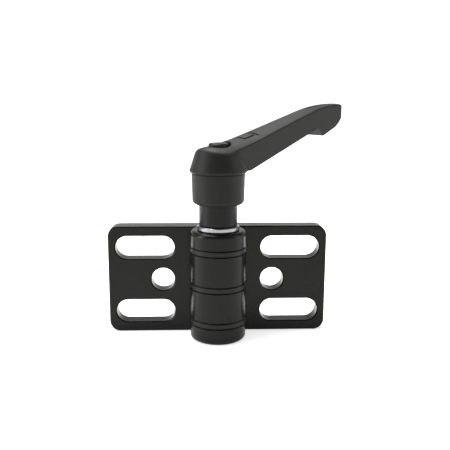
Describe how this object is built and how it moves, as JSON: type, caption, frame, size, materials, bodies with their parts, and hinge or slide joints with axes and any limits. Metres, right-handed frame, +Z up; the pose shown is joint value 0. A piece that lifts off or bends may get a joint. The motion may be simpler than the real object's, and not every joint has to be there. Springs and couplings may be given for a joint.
{
  "type": "profile pivot joint",
  "caption": "Two slotted wings hinged on a knuckled barrel, locked at any angle by a clamping lever on top.",
  "frame": {"origin": "centre of the two wings' mounting faces with the joint laid flat: on the pivot axis' plane in X, on the mounting faces in Y, at mid height in Z", "axes": "+X towards the right wing, +Y out of the mounting faces, +Z up along the pivot axis towards the lever"},
  "size_m": [0.0911, 0.055, 0.0831],
  "materials": {
    "wing_black": "black satin powder coat on die-cast zinc",
    "ring_black": "black glossy moulded plastic",
    "zinc_steel": "bright zinc plate",
    "black_steel": "black oxide",
    "lever_plastic": "matt dark grey glass-filled plastic",
    "spring_steel": "drawn spring wire"
  },
  "bodies": {
    "left_wing": {"left_wing": "wing_black", "upper_friction_ring": "ring_black", "middle_friction_ring": "ring_black", "lower_friction_ring": "ring_black"},
    "right_wing": {"right_wing": "wing_black", "clamp_nut": "zinc_steel"},
    "washer": {"thrust_washer": "zinc_steel"},
    "clamp": {"clamp_stud": "black_steel", "lever_insert": "black_steel", "lever_screw": "black_steel", "lever_spring": "spring_steel"},
    "lever": {"lever_body": "lever_plastic"}
  },
  "joints": [
    {"name": "wing_swing", "type": "hinge", "parent": "left_wing", "child": "right_wing", "pos_m": [0, -0.012, 0], "axis": [0, 0, -1], "range_deg": [0, 180]},
    {"name": "clamp_turn", "type": "hinge", "parent": "left_wing", "child": "washer", "pos_m": [0, -0.012, 0.02], "axis": [0, 0, 1], "range_deg": [0, 180]},
    {"name": "clamp_feed", "type": "slide", "parent": "washer", "child": "clamp", "axis": [0, 0, 1], "range_m": [0, 0.000625]},
    {"name": "lever_lift", "type": "slide", "parent": "clamp", "child": "lever", "axis": [0, 0, 1], "range_m": [0, 0.0036], "stiffness_N_per_m": 600, "springref_m": -0.006, "deforming": ["lever_spring"]}
  ],
  "couplings": [
    {"joint": "clamp_turn", "follows": "clamp_feed", "rad_per_m": 5026.5}
  ]
}
